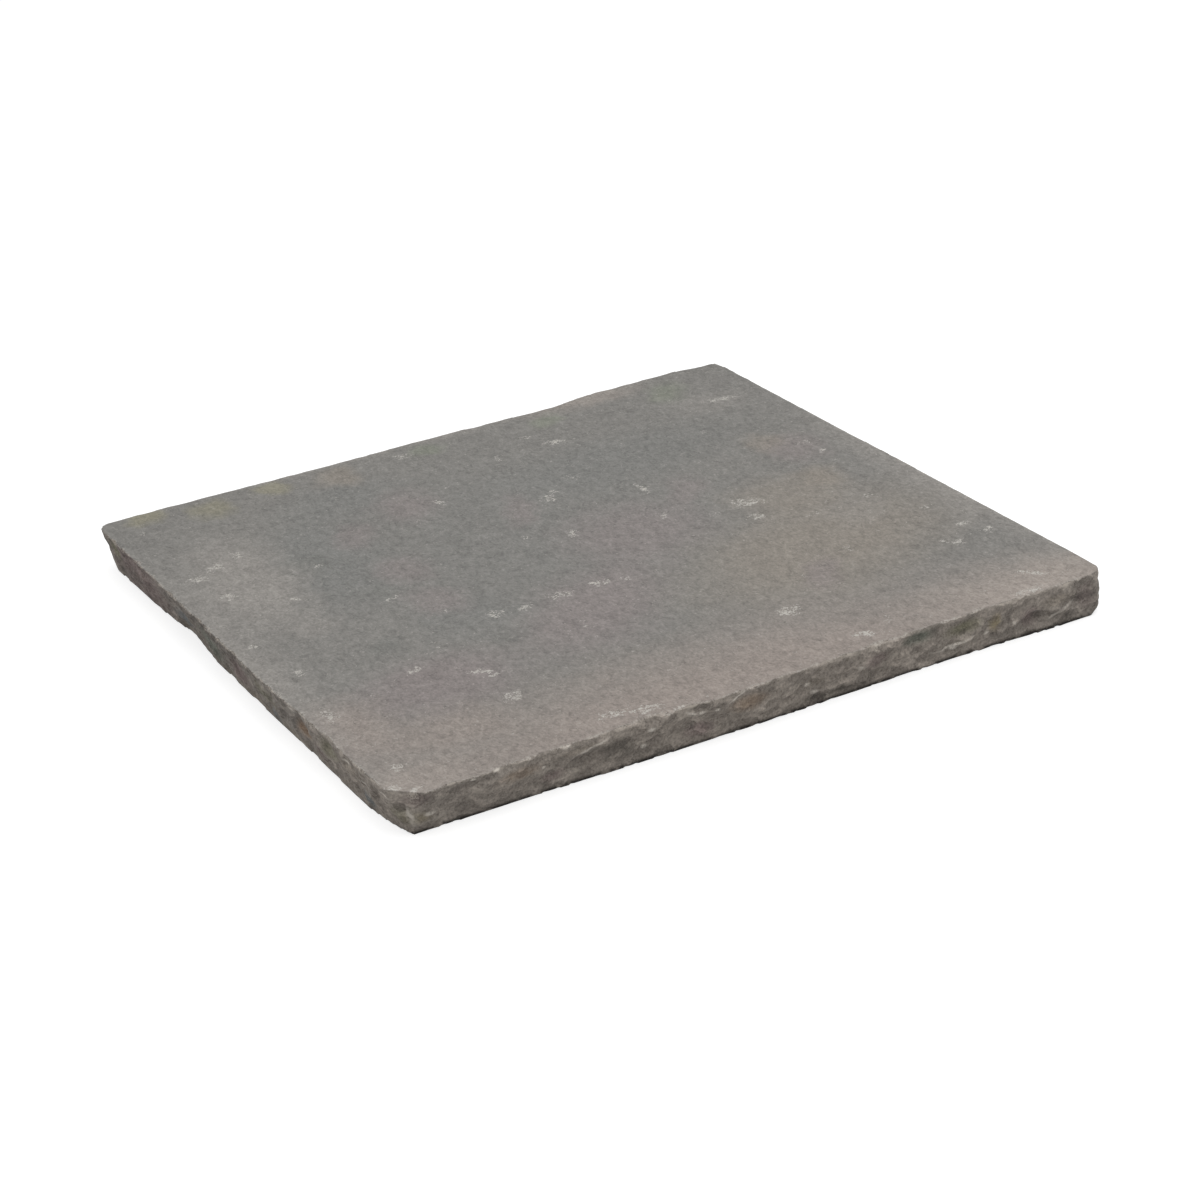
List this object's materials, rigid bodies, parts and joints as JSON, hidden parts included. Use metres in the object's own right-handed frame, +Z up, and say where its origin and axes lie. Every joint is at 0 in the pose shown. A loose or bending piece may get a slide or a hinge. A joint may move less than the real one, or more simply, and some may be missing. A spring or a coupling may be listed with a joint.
{
  "type": "bluestone paver",
  "caption": "Thick square paver of natural bluestone with a flat cleft tread, a flat underside and hand-pitched, slightly undercut edges.",
  "frame": {"origin": "centre of the underside, where the paver lies on its bed", "axes": "+Z up through the thickness, from the underside to the tread; +X along the near edge; +Y towards the far edge"},
  "size_m": [0.6144, 0.6191, 0.038],
  "materials": {
    "bluestone": "natural cleft tread, split and pitched edges"
  },
  "bodies": {
    "root": {"bluestone_slab": "bluestone"}
  },
  "joints": []
}
